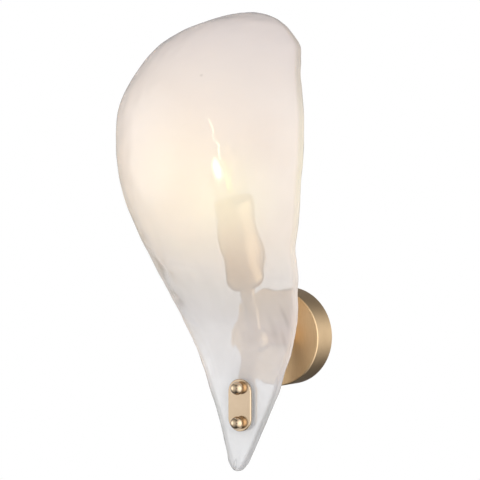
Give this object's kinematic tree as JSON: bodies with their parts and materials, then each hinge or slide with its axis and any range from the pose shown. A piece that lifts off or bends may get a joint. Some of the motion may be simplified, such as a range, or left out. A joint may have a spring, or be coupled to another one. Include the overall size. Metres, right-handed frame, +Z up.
{
  "type": "wall sconce",
  "caption": "Wall light with a tall cupped petal of milky glass clamped at its low tip, a leaning brass lampholder cup behind it and a round brass canopy.",
  "frame": {"origin": "on the wall plane, on the axis of the round canopy, midway between the two wall slots", "axes": "+X to the right as seen from the room, +Y into the wall, +Z up"},
  "size_m": [0.2116, 0.1999, 0.4512],
  "materials": {
    "satin_brass": "satin brushed",
    "polished_brass": "polished",
    "terminal_brass": "plain turned",
    "tinned_brass": "tinned",
    "zinc_steel": "zinc plated",
    "dark_steel": "plain",
    "bright_nickel": "nickel plated",
    "milk_glass": "milky above, clear below",
    "clear_glass": "clear",
    "black_glass": "opaque",
    "porcelain": "glazed",
    "white_plastic": "moulded",
    "clear_silicone": "soft clear",
    "brown_wire": "extruded",
    "blue_wire": "extruded",
    "green_wire": "extruded",
    "lit_filament": "lit"
  },
  "bodies": {
    "fixture": {"mounting_bracket": "zinc_steel", "canopy_cover": "satin_brass", "canopy_screws": "dark_steel", "earth_screw": "terminal_brass", "earth_lug": "tinned_brass", "terminal_block": "white_plastic", "terminal_clamps": "terminal_brass", "terminal_screws": "zinc_steel", "block_screw": "zinc_steel", "arm_nipple": "terminal_brass", "nipple_washer": "zinc_steel", "nipple_nut": "terminal_brass", "arm_hub": "satin_brass", "lamp_rod": "satin_brass", "lampholder_cup": "satin_brass", "cup_nut": "terminal_brass", "holder_nut": "terminal_brass", "holder_dome": "white_plastic", "holder_insert": "porcelain", "holder_terminals": "terminal_brass", "screw_shell": "terminal_brass", "centre_contact": "terminal_brass", "holder_barrel": "white_plastic", "glass_bracket": "satin_brass", "bracket_screw": "satin_brass", "clamp_back_plate": "satin_brass", "rear_gasket": "clear_silicone", "front_gasket": "clear_silicone", "clamp_plate": "polished_brass", "clamp_bolts": "dark_steel", "stud_sleeves": "clear_silicone", "glass_shade": "milk_glass", "live_wire": "brown_wire", "neutral_wire": "blue_wire", "earth_wire": "green_wire"},
    "bulb": {"bulb_glass": "clear_glass", "bulb_cap": "bright_nickel", "bulb_insulator": "black_glass", "bulb_contact": "tinned_brass", "bulb_stem": "clear_glass", "filament_support": "bright_nickel", "filament": "lit_filament"},
    "upper_nut": {"upper_ball_nut": "polished_brass"},
    "lower_nut": {"lower_ball_nut": "polished_brass"}
  },
  "joints": [
    {"name": "bulb_draw", "type": "slide", "parent": "fixture", "child": "bulb", "axis": [0, -0.3173, 0.9483], "range_m": [0, 0.018]},
    {"name": "upper_nut_turn", "type": "hinge", "parent": "fixture", "child": "upper_nut", "pos_m": [0, -0.102, -0.0463], "axis": [0, -1, 0], "continuous": true},
    {"name": "lower_nut_turn", "type": "hinge", "parent": "fixture", "child": "lower_nut", "pos_m": [0, -0.102, -0.0803], "axis": [0, -1, 0], "continuous": true}
  ]
}
